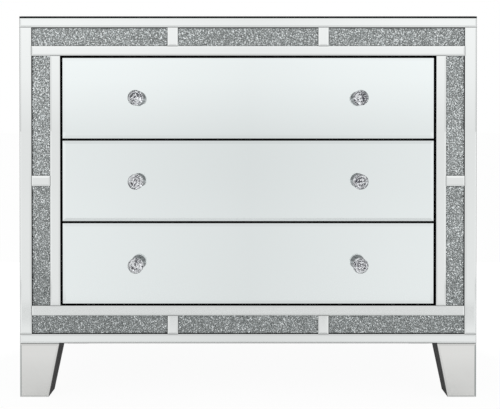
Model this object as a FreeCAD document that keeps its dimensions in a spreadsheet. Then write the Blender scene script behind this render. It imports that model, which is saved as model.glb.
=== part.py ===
import FreeCAD, Part
import os
import re
import Sketcher

# Driving sizes of the chest, in millimetres.
SIZES = {
    "overall_width": 900,
    "overall_depth": 420,
    "overall_height": 752,
    "board": 16,
    "back_board": 5,
    "front_glass": 5,
    "side_glass": 5,
    "top_glass": 4,
    "bevel_depth": 1,
    "strip_bevel": 3.5,
    "panel_bevel": 6,
    "rail_outer_strip": 18,
    "rail_inner_strip": 19,
    "stile_outer_strip": 23,
    "stile_inner_strip": 20,
    "crystal_band": 37,
    "crystal_recess": 4,
    "crystal_bed": 5,
    "divider_width": 20,
    "divider_spacing": 297,
    "leg_height": 107,
    "leg_top_width": 77,
    "leg_foot_width": 55.5,
    "leg_top_depth": 58,
    "leg_foot_depth": 50,
    "leg_glass_gap": 1,
    "bolt_inset": 17,
    "bolt_diameter": 8,
    "bolt_head_width": 13,
    "bolt_head_height": 5.3,
    "bolt_length": 60,
    "drawer_gap": 4.6,
    "drawer_side": 12,
    "drawer_bottom": 5,
    "drawer_bottom_lift": 10,
    "drawer_box_lift": 14,
    "drawer_box_headroom": 24,
    "drawer_back_space": 28,
    "groove_depth": 6,
    "divider_rail_height": 18,
    "divider_rail_depth": 60,
    "runner_gap": 12.5,
    "runner_height": 35,
    "runner_reach": 9.6,
    "runner_sheet": 1.2,
    "runner_lip": 1.6,
    "runner_setback": 5,
    "knob_spacing": 436,
    "knob_diameter": 30,
    "knob_projection": 38,
    "knob_foot_height": 20,
    "knob_foot_diameter": 19,
    "knob_neck_diameter": 11,
    "knob_cup_diameter": 28.5,
    "knob_table_diameter": 17,
    "knob_girdle": 2,
    "knob_crown_height": 11,
    "screw_diameter": 4,
    "screw_head_diameter": 8,
    "screw_head_height": 2.5,
    "screw_grip": 8,
    "play": 0.3,
}

# Planes and lengths that follow from the driving sizes; the front faces -Y, the floor is Z = 0.
LAYOUT = {
    "front_y": "(knob_projection - overall_depth) / 2",
    "frame_y": "front_y + front_glass",
    "board_y": "frame_y + board",
    "back_y": "front_y + overall_depth",
    "inner_back_y": "back_y - back_board",
    "half_width": "overall_width / 2",
    "carcass_x": "half_width - side_glass",
    "band_outer_x": "half_width - stile_outer_strip",
    "band_inner_x": "band_outer_x - crystal_band",
    "opening_x": "band_inner_x - stile_inner_strip",
    "bolt_x": "(carcass_x + opening_x) / 2",
    "top_z": "overall_height - top_glass",
    "top_band_high_z": "top_z - rail_outer_strip",
    "top_band_low_z": "top_band_high_z - crystal_band",
    "opening_high_z": "top_band_low_z - rail_inner_strip",
    "base_band_low_z": "leg_height + rail_outer_strip",
    "base_band_high_z": "base_band_low_z + crystal_band",
    "opening_low_z": "base_band_high_z + rail_inner_strip",
    "middle_z": "(opening_low_z + opening_high_z) / 2",
    "drawer_pitch": "(opening_high_z - opening_low_z - drawer_gap) / 3",
    "front_height": "drawer_pitch - drawer_gap",
    "box_x": "opening_x - runner_gap",
    "box_inner_x": "box_x - drawer_side",
    "box_height": "front_height - drawer_box_lift - drawer_box_headroom",
    "box_depth": "inner_back_y - board_y - drawer_back_space",
    "runner_y": "board_y + runner_setback",
    "runner_length": "box_depth - 2 * runner_setback",
    "runner_nest": "runner_sheet + play",
    "girdle_z": "knob_projection - knob_crown_height",
}

DRAWERS = ("lower", "middle", "upper")
FACETS = 12

doc = FreeCAD.newDocument("mirrored_chest")
sizes = doc.addObject("Spreadsheet::Sheet", "sizes")
layout = doc.addObject("App::VarSet", "layout")
nodes = {}


def formula(text):
    """Point each named size in a formula at the sheet or the layout that holds it."""
    def held(match):
        word = match.group(0)
        if word in SIZES:
            return "sizes." + word
        if word in LAYOUT:
            return "layout." + word
        return word
    return re.sub(r"[a-z_]+", held, text)


def value(text):
    """The number that a formula gives at present."""
    return float(layout.evalExpression(formula(text)))


def enter_sizes():
    """Fill the sheet with the driving sizes and work out the layout from it."""
    for row, (name, size) in enumerate(SIZES.items(), 1):
        sizes.set(f"A{row}", name)
        sizes.set(f"B{row}", str(size))
        sizes.setAlias(f"B{row}", name)
    doc.recompute()
    for name, text in LAYOUT.items():
        layout.addProperty("App::PropertyFloat", name, "layout")
        layout.setExpression(name, formula(text))
    doc.recompute()


def node(name, thing):
    """Give a finished piece its name and list it as a separate part."""
    thing.Label = name
    nodes[name] = thing
    return thing


def place(thing, x="0", y="0", z="0"):
    """Set a piece's position by three formulas."""
    for axis, text in zip("xyz", (x, y, z)):
        thing.setExpression("Placement.Base." + axis, formula(text))
    return thing


def turned_about(thing, axis, angle):
    """Turn a piece about one of the main axes."""
    thing.Placement.Rotation = FreeCAD.Rotation(FreeCAD.Vector(*axis), angle)
    return thing


def box(name, x, y, z):
    """A block between two formulas along each axis."""
    block = doc.addObject("Part::Box", name)
    for side, (low, high) in zip(("Length", "Width", "Height"), (x, y, z)):
        block.setExpression(side, formula(f"({high}) - ({low})"))
    return place(block, x[0], y[0], z[0])


def rod(name, diameter, length):
    """A round bar standing on its end."""
    bar = doc.addObject("Part::Cylinder", name)
    bar.setExpression("Radius", formula(f"({diameter}) / 2"))
    bar.setExpression("Height", formula(length))
    return bar


def group(name, pieces):
    """Several separate pieces kept together."""
    together = doc.addObject("Part::Compound", name)
    together.Links = pieces
    return together


def joined(name, first, second):
    """Two pieces that are one in the real object."""
    whole = doc.addObject("Part::Fuse", name)
    whole.Base = first
    whole.Tool = second
    whole.Refine = True
    return whole


def cut(name, piece, tools):
    """A piece with the given shapes taken out of it."""
    result = doc.addObject("Part::Cut", name)
    result.Base = piece
    result.Tool = group(name + "_cutters", tools)
    return result


def mirrored(name, piece):
    """The same piece on the right-hand side of the chest."""
    image = doc.addObject("Part::Mirroring", name)
    image.Source = piece
    image.Normal = FreeCAD.Vector(1, 0, 0)
    return image


def at_rear(name, piece):
    """A front leg's piece turned round to the back of the chest."""
    image = doc.addObject("Part::Mirroring", name)
    image.Source = piece
    image.Normal = FreeCAD.Vector(0, 1, 0)
    image.setExpression("Base.y", formula("(frame_y + back_y) / 2"))
    return image


def new_body(name):
    """An empty body for a piece that is made from sketches."""
    return doc.addObject("PartDesign::Body", name)


def origin_item(body, role):
    """One of the planes or axes that a body brings with it."""
    return next(item for item in body.Origin.OriginFeatures if item.Role == role)


def outline(body, plane, corners, offset=None):
    """A closed sketch on a plane of the body, each corner held by two formulas."""
    sketch = body.newObject("Sketcher::SketchObject", body.Name + "_outline")
    sketch.AttachmentSupport = [(origin_item(body, plane), "")]
    sketch.MapMode = "FlatFace"
    if offset:
        sketch.AttachmentOffset = offset
    count = len(corners)
    points = [FreeCAD.Vector(value(across), value(up), 0) for across, up in corners]
    for index in range(count):
        sketch.addGeometry(Part.LineSegment(points[index], points[(index + 1) % count]))
    for index in range(count):
        sketch.addConstraint(Sketcher.Constraint("Coincident", index, 2, (index + 1) % count, 1))
    for index, (across, up) in enumerate(corners):
        for kind, text in (("DistanceX", across), ("DistanceY", up)):
            held = Sketcher.Constraint(kind, -1, 1, index, 1, value(text))
            number = sketch.addConstraint(held)
            sketch.setExpression(f"Constraints[{number}]", formula(text))
    return sketch


def pad(body, sketch, length, backwards=False):
    """Raise a sketch into a solid."""
    raised = body.newObject("PartDesign::Pad", body.Name + "_pad")
    raised.Profile = sketch
    raised.setExpression("Length", formula(length))
    raised.Reversed = backwards
    return raised


def turned(name, corners):
    """A lathe-turned piece from one half of its section, axis upright."""
    body = new_body(name)
    sketch = outline(body, "XZ_Plane", corners)
    spin = body.newObject("PartDesign::Revolution", name + "_spin")
    spin.Profile = sketch
    spin.ReferenceAxis = (sketch, ["V_Axis"])
    spin.Angle = 360
    return body


def tapered_block(name, start, end, length):
    """A block along Y whose two ends differ, each end given by its span along X and along Z."""
    block = doc.addObject("Part::Wedge", name)
    block.setExpression("Ymin", "0")
    block.setExpression("Ymax", formula(length))
    for mark, spans in (("", start), ("2", end)):
        for axis, (low, high) in zip("XZ", spans):
            block.setExpression(f"{axis}{mark}min", formula(low))
            block.setExpression(f"{axis}{mark}max", formula(high))
    return block


def glass(name, width, height, thickness, bevel):
    """A rectangular glass plate facing -Y with a ground bevel all round its face."""
    plate = box(name + "_plate", ("0", width), ("bevel_depth", thickness), ("0", height))
    inside = ((bevel, f"{width} - {bevel}"), (bevel, f"{height} - {bevel}"))
    whole = (("0", width), ("0", height))
    face = tapered_block(name + "_face", inside, whole, "bevel_depth")
    return joined(name, plate, face)


def front_glass(name, x, z, bevel):
    """A bevelled glass plate in the plane of the front."""
    plate = glass(name, f"({x[1]} - ({x[0]}))", f"({z[1]} - ({z[0]}))", "front_glass", bevel)
    return place(plate, x[0], "front_y", z[0])


def tapered_glass(name, plane, corners, thickness, faces_away):
    """A leg's glass plate with a slanted edge and a ground bevel all round."""
    body = new_body(name)
    sketch = outline(body, plane, corners)
    pad(body, sketch, f"{thickness} - bevel_depth", faces_away)
    bevel = pad(body, sketch, "bevel_depth", not faces_away)
    bevel.setExpression("TaperAngle", formula("-atan(strip_bevel / bevel_depth)"))
    return body


def carcass():
    """Plain boards of the case behind the front frame."""
    depth = ("board_y", "inner_back_y")
    width = ("-carcass_x", "carcass_x")
    inside = ("leg_height + board", "top_z - board")
    base = box("base_blank", width, depth, ("leg_height", "leg_height + board"))
    node("base_board", cut("base_board", base, leg_bolt_holes("base")))
    node("top_board", box("top_board", width, depth, ("top_z - board", "top_z")))
    node("back_panel", box("back_panel", width, ("inner_back_y", "back_y"), ("leg_height", "top_z")))
    side = box("left_side_panel", ("-carcass_x", "board - carcass_x"), depth, inside)
    node("left_side_panel", side)
    node("right_side_panel", mirrored("right_side_panel", side))
    inner = box("left_inner_panel", ("-opening_x - board", "-opening_x"), depth, inside)
    node("left_inner_panel", inner)
    node("right_inner_panel", mirrored("right_inner_panel", inner))


def long_band_spans():
    """The three stretches of crystal in the bands above and below the drawers."""
    tile = "divider_width / 2"
    tile_x = "divider_spacing / 2"
    left = ("-band_outer_x", f"-{tile_x} - {tile}")
    middle = (f"{tile} - {tile_x}", f"{tile_x} - {tile}")
    right = (f"{tile_x} + {tile}", "band_outer_x")
    return left, middle, right


def side_band_spans():
    """The two stretches of crystal in the bands beside the drawers."""
    low = ("opening_low_z", "middle_z - divider_width / 2")
    high = ("middle_z + divider_width / 2", "opening_high_z")
    return low, high


def bands(name, y):
    """Blocks for the three stretches of the top band, the base band and two of the left band."""
    top_z = ("top_band_low_z", "top_band_high_z")
    base_z = ("base_band_low_z", "base_band_high_z")
    left_x = ("-band_outer_x", "-band_inner_x")
    top = [box(name + "_top", x, y, top_z) for x in long_band_spans()]
    base = [box(name + "_base", x, y, base_z) for x in long_band_spans()]
    left = [box(name + "_left", left_x, y, z) for z in side_band_spans()]
    return top, base, left


def front_frame():
    """Rails and stiles of the front, with shallow beds for the crystal."""
    thickness = ("frame_y", "board_y")
    width = ("-carcass_x", "carcass_x")
    top, base, left = bands("bed", ("frame_y - crystal_bed", "frame_y + crystal_recess"))
    top_rail = box("top_rail_blank", width, thickness, ("opening_high_z", "top_z"))
    node("front_top_rail", cut("front_top_rail", top_rail, top))
    base_rail = box("base_rail_blank", width, thickness, ("leg_height", "opening_low_z"))
    node("front_bottom_rail", cut("front_bottom_rail", base_rail, base))
    stile_x = ("-carcass_x", "-opening_x")
    stile_blank = box("stile_blank", stile_x, thickness, ("opening_low_z", "opening_high_z"))
    stile = node("front_left_stile", cut("front_left_stile", stile_blank, left))
    node("front_right_stile", mirrored("front_right_stile", stile))


def crystal():
    """Beds of crushed crystal lying in the frame, a little below the mirror strips."""
    y = ("frame_y + crystal_recess - crystal_bed", "frame_y + crystal_recess")
    top, base, left = bands("crystal", y)
    node("crystal_long_bands", group("crystal_long_bands", top + base))
    both_sides("crystal_side_bands", group("left_crystal_bands", left))


def both_sides(name, left):
    """A left-hand piece and its right-hand twin as one named pair."""
    return node(name, group(name, [left, mirrored(name + "_right", left)]))


def mirror_strips():
    """Mirror strips that frame the crystal, and the tiles that divide it."""
    full = ("-half_width", "half_width")
    between = ("-band_outer_x", "band_outer_x")
    top_edge = ("top_band_high_z", "top_z")
    base_edge = ("leg_height", "base_band_low_z")
    upper = front_glass("top_outer_strip", full, top_edge, "strip_bevel")
    lower = front_glass("base_outer_strip", full, base_edge, "strip_bevel")
    node("outer_long_strips", group("outer_long_strips", [upper, lower]))
    inner_top = ("opening_high_z", "top_band_low_z")
    inner_base = ("base_band_high_z", "opening_low_z")
    upper = front_glass("top_inner_strip", between, inner_top, "strip_bevel")
    lower = front_glass("base_inner_strip", between, inner_base, "strip_bevel")
    node("inner_long_strips", group("inner_long_strips", [upper, lower]))
    outer_x = ("-half_width", "-band_outer_x")
    inner_x = ("-band_inner_x", "-opening_x")
    outer_z = ("base_band_low_z", "top_band_high_z")
    inner_z = ("opening_low_z", "opening_high_z")
    both_sides("outer_side_strips", front_glass("side_outer_strip", outer_x, outer_z, "strip_bevel"))
    both_sides("inner_side_strips", front_glass("side_inner_strip", inner_x, inner_z, "strip_bevel"))
    both_sides("divider_tiles", group("left_divider_tiles", left_tiles()))


def left_tiles():
    """The three mirror tiles on the left half of the frame."""
    long_x = ("-(divider_spacing + divider_width) / 2", "(divider_width - divider_spacing) / 2")
    side_x = ("-band_outer_x", "-band_inner_x")
    side_z = ("middle_z - divider_width / 2", "middle_z + divider_width / 2")
    spots = (
        (long_x, ("top_band_low_z", "top_band_high_z")),
        (long_x, ("base_band_low_z", "base_band_high_z")),
        (side_x, side_z),
    )
    return [front_glass("tile", x, z, "strip_bevel") for x, z in spots]


def case_mirrors():
    """Mirror plates on the top and the two ends of the case."""
    top = glass("top_mirror", "overall_width", "overall_depth", "top_glass", "strip_bevel")
    turned_about(top, (1, 0, 0), -90)
    node("top_mirror", place(top, "-half_width", "front_y", "overall_height"))
    end = ("(back_y - frame_y)", "(top_z - leg_height)")
    side = glass("left_side_mirror", *end, "side_glass", "panel_bevel")
    turned_about(side, (0, 0, 1), -90)
    node("left_side_mirror", place(side, "-half_width", "back_y", "leg_height"))
    node("right_side_mirror", mirrored("right_side_mirror", side))


def leg_bolt_holes(name):
    """Clearance holes for the bolts of all four legs, from the base board downwards."""
    hole = rod(name + "_bolt_hole", "bolt_diameter + 2 * play", "bolt_length + board")
    place(hole, "-bolt_x", "board_y + bolt_inset", "leg_height + board - bolt_length - play")
    rear = at_rear(name + "_rear_hole", hole)
    return [hole, rear, mirrored(name + "_right_hole", hole), mirrored(name + "_far_hole", rear)]


def leg_core():
    """The board core of the front left leg, drawn in towards the foot on two sides."""
    foot = (("0", "leg_foot_width - side_glass"), ("front_glass - leg_foot_depth", "0"))
    head = (("0", "leg_top_width - side_glass"), ("front_glass - leg_top_depth", "0"))
    core = tapered_block("leg_core", foot, head, "leg_height")
    turned_about(core, (1, 0, 0), 90)
    return place(core, "-carcass_x", "frame_y", "0")


def edge_at(foot, head, height):
    """How far out a leg's slanted edge stands at a height."""
    return f"{foot} + ({head} - {foot}) * ({height}) / leg_height"


def leg_plate_corners(foot, head):
    """The outline of a leg's glass, clear of the floor and of the glass above."""
    low = "leg_glass_gap"
    high = "leg_height - leg_glass_gap"
    return [("0", low), (edge_at(foot, head, low), low), (edge_at(foot, head, high), high), ("0", high)]


def legs():
    """Four tapered legs, their mirror plates and the bolts that hold them."""
    core = cut("front_left_leg", leg_core(), leg_bolt_holes("leg"))
    rear = at_rear("rear_left_leg", core)
    node("front_left_leg", core)
    node("front_right_leg", mirrored("front_right_leg", core))
    node("rear_left_leg", rear)
    node("rear_right_leg", mirrored("rear_right_leg", rear))
    face = leg_plate_corners("leg_foot_width", "leg_top_width")
    front = tapered_glass("leg_front_mirror", "XZ_Plane", face, "front_glass", True)
    place(front, "-half_width", "front_y + bevel_depth", "0")
    both_sides("leg_front_mirrors", front)
    face = leg_plate_corners("(leg_foot_depth - front_glass)", "(leg_top_depth - front_glass)")
    side = tapered_glass("leg_side_mirror", "YZ_Plane", face, "side_glass", False)
    place(side, "bevel_depth - half_width", "frame_y", "0")
    left_sides = group("left_leg_side_mirrors", [side, at_rear("rear_leg_side_mirror", side)])
    both_sides("leg_side_mirrors", left_sides)
    bolt = leg_bolt("-bolt_x", "board_y + bolt_inset")
    both_sides("leg_bolts", group("left_bolts", [bolt, at_rear("rear_left_bolt", bolt)]))


def leg_bolt(x, y):
    """A hexagon bolt whose head rests on the base board."""
    head = doc.addObject("Part::Prism", "bolt_head")
    head.Polygon = 6
    head.setExpression("Circumradius", formula("bolt_head_width / 2 / cos(30 deg)"))
    head.setExpression("Height", formula("bolt_head_height"))
    place(head, x, y, "leg_height + board")
    shank = rod("bolt_shank", "bolt_diameter", "bolt_length")
    place(shank, x, y, "leg_height + board - bolt_length")
    return joined("leg_bolt", head, shank)


def front_low(index):
    """The height of a drawer front's lower edge."""
    return f"(opening_low_z + drawer_gap + {index} * drawer_pitch)"


def drawer_rails():
    """Dark rails behind the joints between the drawers."""
    y = ("board_y + play", "board_y + divider_rail_depth")
    rails = []
    for index in range(1, len(DRAWERS)):
        middle = f"{front_low(index)} - drawer_gap / 2"
        z = (f"{middle} - divider_rail_height / 2", f"{middle} + divider_rail_height / 2")
        rails.append(box("drawer_rail", ("-opening_x", "opening_x"), y, z))
    node("drawer_rails", group("drawer_rails", rails))


def screw_holes(name, index):
    """Holes through a drawer front for the screws of its two knobs."""
    holes = []
    for side in ("-", ""):
        hole = rod(name + "_screw_hole", "screw_diameter + 2 * play", "front_glass + board")
        turned_about(hole, (1, 0, 0), -90)
        place(hole, f"{side}knob_spacing / 2", "front_y", f"{front_low(index)} + front_height / 2")
        holes.append(hole)
    return holes


def drawer(name, index):
    """A drawer box with a grooved-in bottom behind a mirrored front."""
    low = front_low(index)
    front_x = ("drawer_gap - opening_x", "opening_x - drawer_gap")
    front_z = (low, f"{low} + front_height")
    box_low = f"({low} + drawer_box_lift)"
    box_high = f"({box_low} + box_height)"
    box_y = ("board_y", "board_y + box_depth")
    groove_low = f"({box_low} + drawer_bottom_lift)"
    bottom_top = f"{groove_low} + drawer_bottom"
    groove_x = ("-box_inner_x - groove_depth", "box_inner_x + groove_depth")
    groove_y = ("board_y - groove_depth", "board_y + box_depth")
    groove = box(name + "_groove", groove_x, groove_y, (groove_low, f"{bottom_top} + play"))
    mirror = front_glass(name + "_mirror_blank", front_x, front_z, "panel_bevel")
    mirror_holes = screw_holes(name + "_mirror", index)
    node(name + "_front_mirror", cut(name + "_front_mirror", mirror, mirror_holes))
    front = box(name + "_front_blank", front_x, ("frame_y", "board_y"), front_z)
    front_cuts = screw_holes(name + "_board", index) + [groove]
    node(name + "_front_board", cut(name + "_front_board", front, front_cuts))
    side_blank = box(name + "_side_blank", ("-box_x", "-box_inner_x"), box_y, (box_low, box_high))
    side = node(name + "_left_side", cut(name + "_left_side", side_blank, [groove]))
    node(name + "_right_side", mirrored(name + "_right_side", side))
    bottom_x = ("play - box_inner_x - groove_depth", "box_inner_x + groove_depth - play")
    bottom_y = ("board_y - groove_depth + play", "board_y + box_depth")
    node(name + "_bottom", box(name + "_bottom", bottom_x, bottom_y, (groove_low, bottom_top)))
    back_x = ("-box_inner_x", "box_inner_x")
    back_y = ("board_y + box_depth - drawer_side", "board_y + box_depth")
    node(name + "_back", box(name + "_back", back_x, back_y, (bottom_top, box_high)))


def lipped_channel(name, start, half, reach):
    """A channel that opens towards the drawer, its lips turned inwards to hold the next one."""
    race = f"{half} - runner_sheet"
    tip = f"{reach} - runner_sheet"
    lip = f"{race} - runner_lip"
    upper = [(f"{start} + runner_sheet", race), (tip, race), (tip, lip)]
    upper += [(reach, lip), (reach, half), (start, half)]
    return channel(name, upper)


def drawer_member():
    """The channel screwed to the drawer's side, its lips turned outwards behind those that hold it."""
    tip = "2 * runner_nest"
    neck = f"{tip} + runner_sheet"
    lip = "runner_height / 2 - 2 * runner_nest"
    flange = f"{lip} - runner_lip"
    inner = f"{flange} - runner_sheet"
    upper = [("runner_gap - runner_sheet", inner), (tip, inner), (tip, lip)]
    upper += [(neck, lip), (neck, flange), ("runner_gap", flange)]
    return channel("drawer_member", upper)


def channel(name, upper):
    """A folded strip, even about its middle, along the left-hand case panel at height nought."""
    lower = [(across, f"-({up})") for across, up in reversed(upper)]
    body = new_body(name)
    sketch = outline(body, "XZ_Plane", upper + lower)
    pad(body, sketch, "runner_length", True)
    return place(body, "-opening_x", "runner_y", "0")


def runner_height(index):
    """The middle height of a drawer's runners."""
    return f"{front_low(index)} + drawer_box_lift + box_height / 2"


def runner_pair(name, left, index):
    """The left and right runner pieces of one drawer."""
    pair = group(name, [left, mirrored(name + "_right", left)])
    return place(pair, z=runner_height(index))


def runners():
    """Telescopic runners: channels on the case, middle channels, channels on the drawers."""
    fixed = lipped_channel("case_member", "0", "runner_height / 2", "runner_reach")
    half = "runner_height / 2 - runner_nest"
    middle = lipped_channel("middle_member", "runner_nest", half, "runner_reach - runner_nest")
    moving = drawer_member()
    fixed_pairs = []
    for index, level in enumerate(DRAWERS):
        fixed_pairs.append(runner_pair(level + "_case_runners", fixed, index))
        name = level + "_telescopic_members"
        node(name, runner_pair(name, middle, index))
        name = level + "_drawer_runners"
        node(name, runner_pair(name, moving, index))
    node("cabinet_runners", group("cabinet_runners", fixed_pairs))


def cut_facets(body, low, high, half_step=False):
    """Grind a ring of flat facets round the knob's axis, between a low and a high edge."""
    angle = 180 / FACETS if half_step else 0
    turn = FreeCAD.Placement(FreeCAD.Vector(0, 0, 0), FreeCAD.Rotation(FreeCAD.Vector(0, 1, 0), angle))
    waste = [low, ("knob_diameter", low[1]), ("knob_diameter", high[1]), high]
    facet = body.newObject("PartDesign::Pocket", "facet")
    facet.Profile = outline(body, "XZ_Plane", waste, turn)
    facet.SideType = "Symmetric"
    facet.setExpression("Length", formula("2 * knob_diameter"))
    ring = body.newObject("PartDesign::PolarPattern", "facet_ring")
    ring.Originals = [facet]
    ring.Axis = (origin_item(body, "Z_Axis"), [""])
    ring.Angle = 360
    ring.Occurrences = FACETS
    body.Tip = ring


def knob_crystal():
    """A cut-glass knob: a brilliant with a pavilion, a girdle, a crown and a flat table."""
    flat = f"cos({180 / FACETS} deg)"
    rim = f"knob_diameter / 2 * cos({90 / FACETS} deg)"
    seat = f"knob_cup_diameter / 2 * {flat}"
    table = f"knob_table_diameter / 2 * {flat}"
    waist = f"({seat} + {rim}) / 2 / {flat}"
    shoulder = f"({rim} + 2 * {table}) / 3 / {flat}"
    foot_z = "knob_foot_height"
    rim_z = "girdle_z - knob_girdle"
    waist_z = f"({foot_z} + {rim_z}) / 2"
    shoulder_z = "(girdle_z + 2 * knob_projection) / 3"
    table_z = "knob_projection"
    wide = "knob_diameter * 0.55"
    body = turned("knob_crystal", [("0", foot_z), (wide, foot_z), (wide, table_z), ("0", table_z)])
    cut_facets(body, (seat, foot_z), (rim, rim_z))
    cut_facets(body, (waist, waist_z), (rim, rim_z), half_step=True)
    cut_facets(body, (rim, rim_z), (rim, "girdle_z"))
    cut_facets(body, (rim, rim_z), (rim, "girdle_z"), half_step=True)
    cut_facets(body, (rim, "girdle_z"), (table, table_z))
    cut_facets(body, (rim, "girdle_z"), (shoulder, shoulder_z), half_step=True)
    cut_facets(body, (shoulder, shoulder_z), (table, table_z), half_step=True)
    return body


def knob_foot():
    """The turned metal foot that carries a knob's crystal."""
    hole = "screw_diameter / 2 + play / 2"
    bore = "screw_grip + play"
    foot = "knob_foot_diameter / 2"
    neck = "knob_neck_diameter / 2"
    cup = "knob_cup_diameter / 2"
    top = "knob_foot_height"
    profile = [(hole, "0"), (foot, "0"), (foot, f"{top} * 0.15"), (neck, f"{top} * 0.45")]
    profile += [(cup, f"{top} * 0.9"), (cup, top), ("0", top), ("0", bore), (hole, bore)]
    return turned("knob_foot", profile)


def knob_screw():
    """The screw that pulls a knob on to the drawer front from inside."""
    head = "screw_head_diameter / 2"
    shank = "screw_diameter / 2"
    end = "screw_head_height + board + front_glass + screw_grip"
    profile = [("0", "0"), (head, "0"), (head, "screw_head_height")]
    profile += [(shank, "screw_head_height"), (shank, end), ("0", end)]
    return turned("knob_screw", profile)


def knob_pair(name, pieces, index):
    """Copies of a knob's pieces at both places on a drawer front."""
    copies = []
    height = f"{front_low(index)} + front_height / 2"
    for side in ("-", ""):
        for piece, y in pieces:
            copy = turned_about(group(name + "_copy", [piece]), (1, 0, 0), 90)
            copies.append(place(copy, f"{side}knob_spacing / 2", y, height))
    node(name, group(name, copies))


def knobs():
    """Two cut-glass knobs on each drawer, with their feet and screws."""
    stone = knob_crystal()
    foot = knob_foot()
    screw = knob_screw()
    for index, level in enumerate(DRAWERS):
        knob_pair(level + "_knob_crystals", [(stone, "front_y")], index)
        fittings = [(foot, "front_y"), (screw, "board_y + screw_head_height")]
        knob_pair(level + "_knob_fittings", fittings, index)


def check_and_write():
    """Stop if any piece failed, then write each one to a file of its own."""
    doc.recompute()
    for thing in doc.Objects:
        if "Invalid" in thing.State or "Error" in thing.State:
            raise RuntimeError(f"{thing.Label} did not build: {thing.State}")
    os.makedirs("parts", exist_ok=True)
    for name, thing in nodes.items():
        if thing.Label != name:
            raise RuntimeError(f"{name} is labelled {thing.Label}")
        if thing.Shape.isNull() or not thing.Shape.isValid():
            raise RuntimeError(f"{name} has no sound shape")
        thing.Shape.exportStep(f"parts/{name}.step")


enter_sizes()
carcass()
front_frame()
crystal()
mirror_strips()
case_mirrors()
legs()
drawer_rails()
for position, level_name in enumerate(DRAWERS):
    drawer(level_name + "_drawer", position)
runners()
knobs()
check_and_write()
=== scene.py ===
import itertools
import math
import random

import bmesh
import bpy
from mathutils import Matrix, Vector


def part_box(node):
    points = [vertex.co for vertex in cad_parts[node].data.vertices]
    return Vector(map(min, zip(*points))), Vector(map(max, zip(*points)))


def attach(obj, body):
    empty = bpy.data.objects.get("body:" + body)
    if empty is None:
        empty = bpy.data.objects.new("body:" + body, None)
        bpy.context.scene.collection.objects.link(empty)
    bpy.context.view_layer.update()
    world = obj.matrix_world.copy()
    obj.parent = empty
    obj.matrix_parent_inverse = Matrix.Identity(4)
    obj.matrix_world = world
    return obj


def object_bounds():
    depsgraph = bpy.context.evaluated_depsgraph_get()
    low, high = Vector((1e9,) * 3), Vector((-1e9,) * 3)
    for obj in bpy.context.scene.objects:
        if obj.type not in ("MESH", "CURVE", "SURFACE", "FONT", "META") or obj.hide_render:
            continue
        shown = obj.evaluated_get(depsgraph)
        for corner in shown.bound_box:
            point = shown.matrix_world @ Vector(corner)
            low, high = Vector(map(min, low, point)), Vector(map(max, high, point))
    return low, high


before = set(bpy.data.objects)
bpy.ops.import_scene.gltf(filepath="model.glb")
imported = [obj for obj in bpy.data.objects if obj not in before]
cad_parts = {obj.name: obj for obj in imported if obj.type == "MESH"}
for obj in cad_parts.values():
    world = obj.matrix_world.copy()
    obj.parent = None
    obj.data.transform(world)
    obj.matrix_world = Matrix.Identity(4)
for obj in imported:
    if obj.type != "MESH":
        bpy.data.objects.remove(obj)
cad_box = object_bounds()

# The photograph's viewpoint: nearly level, square to the front, about seven tenths of the way up.
CAMERA_DISTANCE = 1.50
CAMERA_HEIGHT = 0.535
CAMERA_OFFSET = 0.0037
CAMERA_TILT = math.radians(0.4)
CAMERA_LENS = 54.87
CAMERA_SENSOR = 36.0
CAMERA_SHIFT = -0.1457

# Crushed crystal: chips a few millimetres across, laid close together on their bed.
CHIP_PITCH = 0.0028
CHIP_RADIUS = (0.0013, 0.0023)
CHIP_HEIGHT = (0.0007, 0.0020)
CHIP_LEAST_HEIGHT = 0.0003
CHIP_SINK = 0.0004
CHIP_MARGIN = 0.0007
CHIP_BEHIND_STRIPS = 0.0006

# How the chips differ: number of corners, tilt, and shares for corner reach, table and straying.
CHIP_CORNERS = (3, 4, 4, 5)
CHIP_TILT = math.radians(32)
CHIP_REACH = (0.8, 1.15)
CHIP_TABLE = (0.4, 0.8)
CHIP_STRAY = 0.3

# Dark joints where the black frame shows between the strips and round the drawers; beside the crystal the
# dark line is partly joint and partly painted shade under the outer strips' edges.
STRIP_BEVEL_WIDTH = 0.0035
STRIP_BEVEL_DEPTH = 0.001
JOINT_WIDTH = 0.0009
HALF_JOINT = JOINT_WIDTH / 2
JOINT_LIFT = 0.00005
CRYSTAL_JOINT_AND_SHADE_WIDTH = 0.0012
CRYSTAL_JOINT_AND_SHADE_HEIGHT = 0.0016

# Foil rosettes behind the knob glass.
FOIL_RADIUS = 0.0132
FOIL_PLEATS = 12
FOIL_LIFT = 0.0012
FOIL_GAP = 0.0003

# Small pan-head screws, whose profile and cross recess are shares of the radius and the height.
SCREW_RADIUS = 0.0034
SCREW_HEIGHT = 0.0016
SCREW_SIDES = 16
SCREW_PROFILE = ((1.0, 0.0), (1.0, 0.4), (0.85, 0.85), (0.6, 1.0))
RECESS_ARMS = 4
RECESS_REACH = 0.5
RECESS_WAIST = 0.2
RECESS_TAPER = 0.8
RECESS_FLOOR = 0.45

# How far in from the edges the screws sit, how far apart, and the sheet that the runners are made of.
BACK_SCREW_INSET = 0.012
BACK_SCREW_STEP_ACROSS = 0.14
BACK_SCREW_STEP_UP = 0.155
RUNNER_SCREW_INSET = 0.03
RUNNER_SCREW_STEP = 0.14
RUNNER_SHEET = 0.0012

# Silver tones: the green-white of the drawers, the plainer white of the strips, and the legs greyer as
# painted shade, standing for the shadowed floor they reflect.
DRAWER_SILVER = ((0.800, 0.846, 0.846, 1), (0.830, 0.872, 0.872, 1))
STRIP_SILVER = ((0.772, 0.794, 0.788, 1), (0.804, 0.824, 0.820, 1))
LEG_SILVER_SHADED = ((0.690, 0.692, 0.678, 1), (0.735, 0.737, 0.722, 1))

# What counts as a bevel: facing less than this along the plate's axis, and leaning down or outwards,
# where bevels get painted shade.
BEVEL_FACING = 0.998
BEVEL_LEAN_DOWN = -0.15
BEVEL_LEAN_OUT = 0.02

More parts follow.
